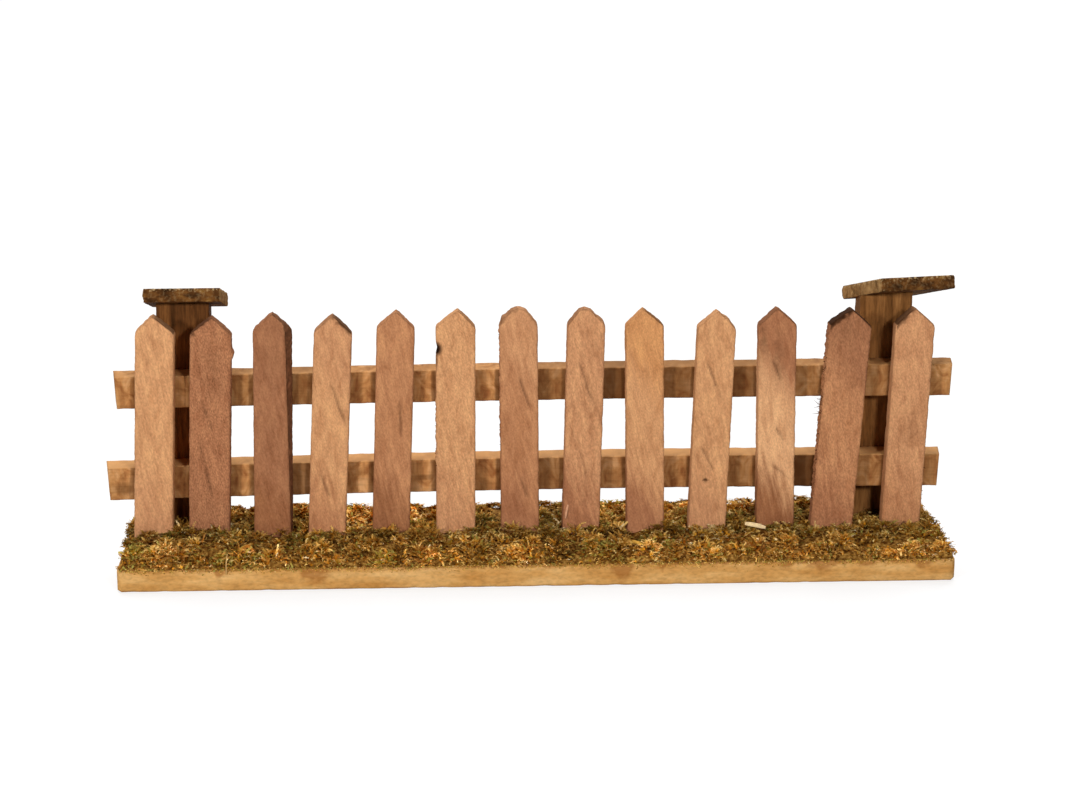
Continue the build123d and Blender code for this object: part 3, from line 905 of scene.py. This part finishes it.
def shoot_leaves(draw, stem):
    """Two leaves of three points at each step of the stems, pressed down over the low back of the bank."""
    count = len(stem)
    along = unit(np.gradient(stem, axis=1))
    aside = unit(np.cross(along, np.array((0.0, 0.0, 1.0)) + 0.4 * draw.normal(0, 1, (count, 1, 3))))
    over = np.cross(aside, along)
    taper = 1.1 - 0.5 * np.linspace(0, 1, stem_steps)
    size = taper[None, :, None] * draw.uniform(0.7, 1.25, (count, 1, 1))
    leaves = []
    for way in (-1, 1):
        out = unit(0.8 * along + way * 0.7 * aside + 0.3 * over + 0.35 * draw.normal(0, 1, stem.shape))
        half = 0.5 * unit(np.cross(out, over)) * leaf_width * size
        leaves.append(np.stack([stem - half, stem + half, stem + out * leaf_length * size], axis=2))
    points = np.stack(leaves, axis=2)
    overhang = MM * draw.uniform(0.05, 0.6, (count, 1, 1, 1))
    points[..., 0] = np.clip(points[..., 0], board_low.x - overhang, board_high.x + overhang)
    points[..., 1] = np.clip(points[..., 1], board_low.y - overhang, board_high.y + overhang)
    inside = (np.abs(points[..., 1]) < board_high.y) & (np.abs(points[..., 0]) < board_high.x)
    points[..., 2] = np.maximum(points[..., 2], board_high.z + np.where(inside, 0.05 * MM, -0.9 * MM))
    brow = board_high.z + bank_height(points[..., 0], points[..., 1])
    flat = 0.2 + 0.8 * np.clip((board_high.y - points[..., 1]) / (9 * MM) - 0.3, 0, 1)
    points[..., 2] = np.minimum(points[..., 2], brow + flat * np.maximum(points[..., 2] - brow, 0))
    return points


def shoot_tones(draw, x, y, home):
    """The colour of each shoot: paler along the front, with painted light from the posts back and behind the
    pickets.
    """
    count, clumps = len(x), len(clump_x)
    kind = np.random.default_rng(9).choice(len(moss_tints), clumps, p=moss_shares)
    chosen = moss_colours[draw.choice(len(moss_tints), count, p=moss_shares)]
    glow = np.random.default_rng(4).uniform(0.8, 1.2, clumps)[home] * draw.uniform(0.85, 1.15, count)
    post_front, post_back, picket_front = post_feet[0][2], post_feet[0][3], picket_feet[0][2]
    # Painted light: shoots from the posts' front back are painted brighter, and more in the stretches behind
    # the pickets.
    back = np.clip((y - post_front) / (4 * MM), 0, 1)
    rear = np.clip((y - post_back) / (3 * MM), 0, 1)
    behind = (1 - 0.6 * back - 0.4 * rear) * np.clip((y - picket_front) / (2.5 * MM) + 0.8, 0, 1)
    glow = glow * (1 + 0.5 * back)
    for middle, half, paler in painted_light_behind_pickets:
        glow = glow * (1 + paler * behind * np.exp(-((x / MM - middle) / half) ** 2))
    glow = glow * (1 + 0.75 * np.clip((board_low.y + 8 * MM - y) / (7 * MM), 0, 1))
    of_clump = draw.uniform(0, 1, (count, 1)) < clump_tint_share
    return np.where(of_clump, moss_colours[kind[home]], chosen) * glow[:, None]


def lay_leaves(name, points, colours):
    """A piece of loose leaves, each a triangle of three points, with a tint at each point."""
    leaves = new_piece(name, points, np.arange(len(points)).reshape(-1, 3).tolist())
    tint = leaves.data.attributes.new("tint", "FLOAT_COLOR", "POINT")
    tint.data.foreach_set("color", colours.astype(np.float32).ravel())
    leaves.data.materials.append(shoot_moss)
    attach(leaves, "root")


clump_x, clump_y, clump_girth = clump_centres(5)
fade = np.linspace(root_shade, tip_shade, stem_steps)[:, None, None, :]
for band, (seed, low, high) in shoot_bands.items():
    draw = np.random.default_rng(seed)
    x, y, home, girth, spoke, out = shoot_roots(draw, low, high)
    points = shoot_leaves(draw, shoot_stems(draw, x, y, girth, spoke, out))
    tone = shoot_tones(draw, x, y, home)[:, None, None, None, :] * fade
    colours = np.broadcast_to(tone, (*points.shape[:-1], 4))
    lay_leaves(f"moss_shoots_{band}", points.reshape(-1, 3), colours.reshape(-1, 4))


# Crumbs of moss that stuck to the glue along the top of the board's front edge.
# Each is a single torn leaf, flat on the wood or standing off it a little.
crumb_count = 2600
crumb_glow = 1.1
draw = np.random.default_rng(21)
crumb_x = draw.uniform(board_low.x + 0.6 * MM, board_high.x - 0.6 * MM, crumb_count)
crumb_z = board_high.z - MM * (np.abs(draw.normal(0, 0.45, crumb_count)) - 0.15)
crumb_turn = draw.uniform(0, np.pi, crumb_count)
level = np.zeros(crumb_count)
crumb_aim = np.stack([np.cos(crumb_turn), level, np.sin(crumb_turn)], axis=1)
crumb_aside = np.stack([-np.sin(crumb_turn), level, np.cos(crumb_turn)], axis=1)
crumb_spot = np.stack([crumb_x, level + board_low.y - 0.04 * MM, crumb_z], axis=1)
crumb_long = MM * draw.uniform(0.1, 0.45, (crumb_count, 1))
crumb_half = MM * draw.uniform(0.04, 0.12, (crumb_count, 1)) * crumb_aside
crumb_off = MM * draw.uniform(0, 0.2, (crumb_count, 1)) * np.array((0, 1, 0))
crumb_tip = crumb_spot + crumb_long * crumb_aim - crumb_off
crumbs = np.stack([crumb_spot - crumb_half, crumb_spot + crumb_half, crumb_tip], axis=1)
crumb_tints = crumb_glow * moss_colours[draw.choice(len(moss_tints), crumb_count, p=moss_shares)]
lay_leaves("moss_crumbs", crumbs.reshape(-1, 3), np.repeat(crumb_tints, 3, axis=0))


# Litter that fell in the glue: a split chip of pale wood, curls of bark, a straw and a stalk over the rim.
# A sliver split off the eighth picket's foot still stands against its face.
# Each is a thin tapering strip, bent along its run.
litter_steps = 24
litter_cuts = (4, 2, 4, 2)
litter_arris = 0.06 * MM
# The start, the middle and the end in mm, the width and the thickness in mm, and the colour.
litter = {
    "split_chip": ((38.0, -7.6, 8.6), (39.9, -7.6, 8.35), (41.8, -7.6, 7.75), 0.8, 0.5, "#FADCA8"),
    "bark_curl_right": ((15.0, -14.3, 6.3), (17.0, -11.2, 7.6), (19.2, -13.9, 6.3), 0.6, 0.3, "#D9A548"),
    "bark_curl_left": ((-53.7, -15.6, 5.3), (-52.4, -11.6, 9.2), (-50.3, -14.4, 5.5), 0.6, 0.3, "#B8742C"),
    "straw_bit": ((15.7, -6.1, 7.8), (17.6, -4.8, 9.4), (19.6, -3.3, 10.0), 0.45, 0.25, "#DDB466"),
    "dry_stalk": ((-55.4, -16.0, 6.8), (-55.7, -17.0, 5.2), (-55.6, -16.8, 3.2), 0.22, 0.15, "#D0A768"),
}
# The sliver in its picket's own frame, in the same order.
foot_sliver = ((-2.9, -0.1, 4.4), (-2.8, -0.35, 5.8), (-2.5, 0.0, 7.0), 0.4, 0.2)
slivered_picket = 8


def dry_sliver(name, colour):
    """Bare dry fibre of one colour, darker where it is creased."""
    made, tree, shader = blank_material(name, 0.8)
    crease = grains(tree, (0.4, 0.4, 0.4), 3.0)
    tone = shaded(tree, linear(colour), crease, 0.9, [(0.3, grey(0.75)), (0.6, grey(1.05))])
    tree.links.new(tone, shader.inputs["Base Color"])
    return made


def bent_strip(name, start, middle, end, width, thickness):
    """A strip that follows a curve from start to end and thins out towards both."""
    share = np.linspace(0, 1, litter_steps)[:, None]
    start, middle, end = (MM * np.array(spot) for spot in (start, middle, end))
    run = start * (1 - share) ** 2 + 2 * middle * share * (1 - share) + end * share ** 2
    along = unit(np.gradient(run, axis=0))
    aside = unit(np.cross(along, np.array((0.1, 0.9, -0.5))))
    over = np.cross(aside, along)
    girth = MM * (0.35 + 0.65 * np.sin(np.pi * np.clip(share, 0.02, 0.98)) ** 0.3)
    wide, thick = 0.5 * width * girth * aside, 0.5 * thickness * girth * over
    quads = np.stack([run - wide - thick, run + wide - thick, run + wide + thick, run - wide + thick], axis=1)
    rings, _, _ = section(quads, litter_cuts, litter_arris)
    crumple = 0.12 * MM * thickness * grain_noise(rings, (0.5, 0.5, 0.5), len(name))
    rings += outward(rings) * crumple[..., None]
    return loft(name, rings, {}, (0.6,))


for name, (*bent, colour) in litter.items():
    set_piece(bent_strip(name, *bent), dry_sliver(f"dry_{name}", colour))
sliver = bent_strip("picket_foot_sliver", *foot_sliver)
sliver.matrix_world = picket_places[slivered_picket]
set_piece(sliver, dry_sliver("fresh_beech", "#D8A07A"))


# The floor and the light: a white sheet, a lamp beside the camera on its right, a wider one on the left,
# and daylight from above and behind. The sheet glows only where it is seen, also in a reflection,
# so that it stays white while its glow puts no light on the fence.
floor_half = 6.0
floor_glow = 0.74
floor_corners = [(x * floor_half, y * floor_half, 0) for x, y in ((-1, -1), (1, -1), (1, 1), (-1, 1))]
floor = new_piece("floor", floor_corners, [(0, 1, 2, 3)])
white, white_tree, white_shader = blank_material("white_sheet", 0.9)
white_shader.inputs["Base Color"].default_value = linear("#969696")
white_shader.inputs["Specular IOR Level"].default_value = 0.0
rays = add(white_tree, "LightPath", {}).node.outputs
seen = add(white_tree, "Math", {0: rays["Is Camera Ray"], 1: rays["Is Glossy Ray"]}, operation="MAXIMUM")
seen = add(white_tree, "Math", {0: seen, 1: rays["Is Transmission Ray"]}, operation="MAXIMUM")
strength = add(white_tree, "Math", {0: seen, 1: floor_glow}, operation="MULTIPLY")
glow = add(white_tree, "Emission", {"Color": linear("#FFFFFF"), "Strength": strength})
both = add(white_tree, "AddShader", {0: white_shader.outputs[0], 1: glow})
white_tree.links.new(both, white_tree.nodes["Material Output"].inputs["Surface"])
floor.data.materials.append(white)

day = bpy.data.worlds.new("soft_day")
bpy.context.scene.world = day
day.use_nodes = True
day.node_tree.nodes["Background"].inputs["Color"].default_value = linear("#FFFFFF")
day.node_tree.nodes["Background"].inputs["Strength"].default_value = 0.05


def hang(name, kind, energy, place, **settings):
    """Hangs a lamp at a place, turned to the middle of the fence."""
    lamp = bpy.data.lights.new(name, kind)
    lamp.energy = energy
    for setting, value in settings.items():
        setattr(lamp, setting, value)
    hung = bpy.data.objects.new(name, lamp)
    hung.location = place
    hung.rotation_euler = (Vector(place) - Vector((0, 0, 0.028))).to_track_quat("Z", "Y").to_euler()
    bpy.context.scene.collection.objects.link(hung)


hang("lamp_right", "AREA", 1.1, (0.12, -0.46, 0.19), size=0.045)
hang("lamp_left", "AREA", 1.9, (-0.36, -0.46, 0.22), size=0.055)
hang("daylight", "SUN", 3.3, (0.0, 0.55, 0.9), angle=math.radians(50))


# The camera: a long lens a little above the fence and a little left of its middle, as the picture was taken.
# Its distance and its lens give the picture's slight perspective.
eye_bearing = math.radians(-2.81)
eye_rise = math.radians(13.5)
eye_distance = 475.2 * MM
eye_target = Vector((-0.29, 0.0, 30.37)) * MM
lens = bpy.data.cameras.new("camera")
lens.lens = 88.0
lens.sensor_width = 36.0
lens.clip_start = 0.01
eye = bpy.data.objects.new("camera", lens)
back_from = Vector((math.sin(eye_bearing) * math.cos(eye_rise), -math.cos(eye_bearing) * math.cos(eye_rise),
                    math.sin(eye_rise)))
eye.location = eye_target + back_from * eye_distance
eye.rotation_euler = back_from.to_track_quat("Z", "Y").to_euler()
bpy.context.scene.collection.objects.link(eye)
bpy.context.scene.camera = eye
bpy.context.scene.view_settings.view_transform = "Standard"

bpy.context.view_layer.update()
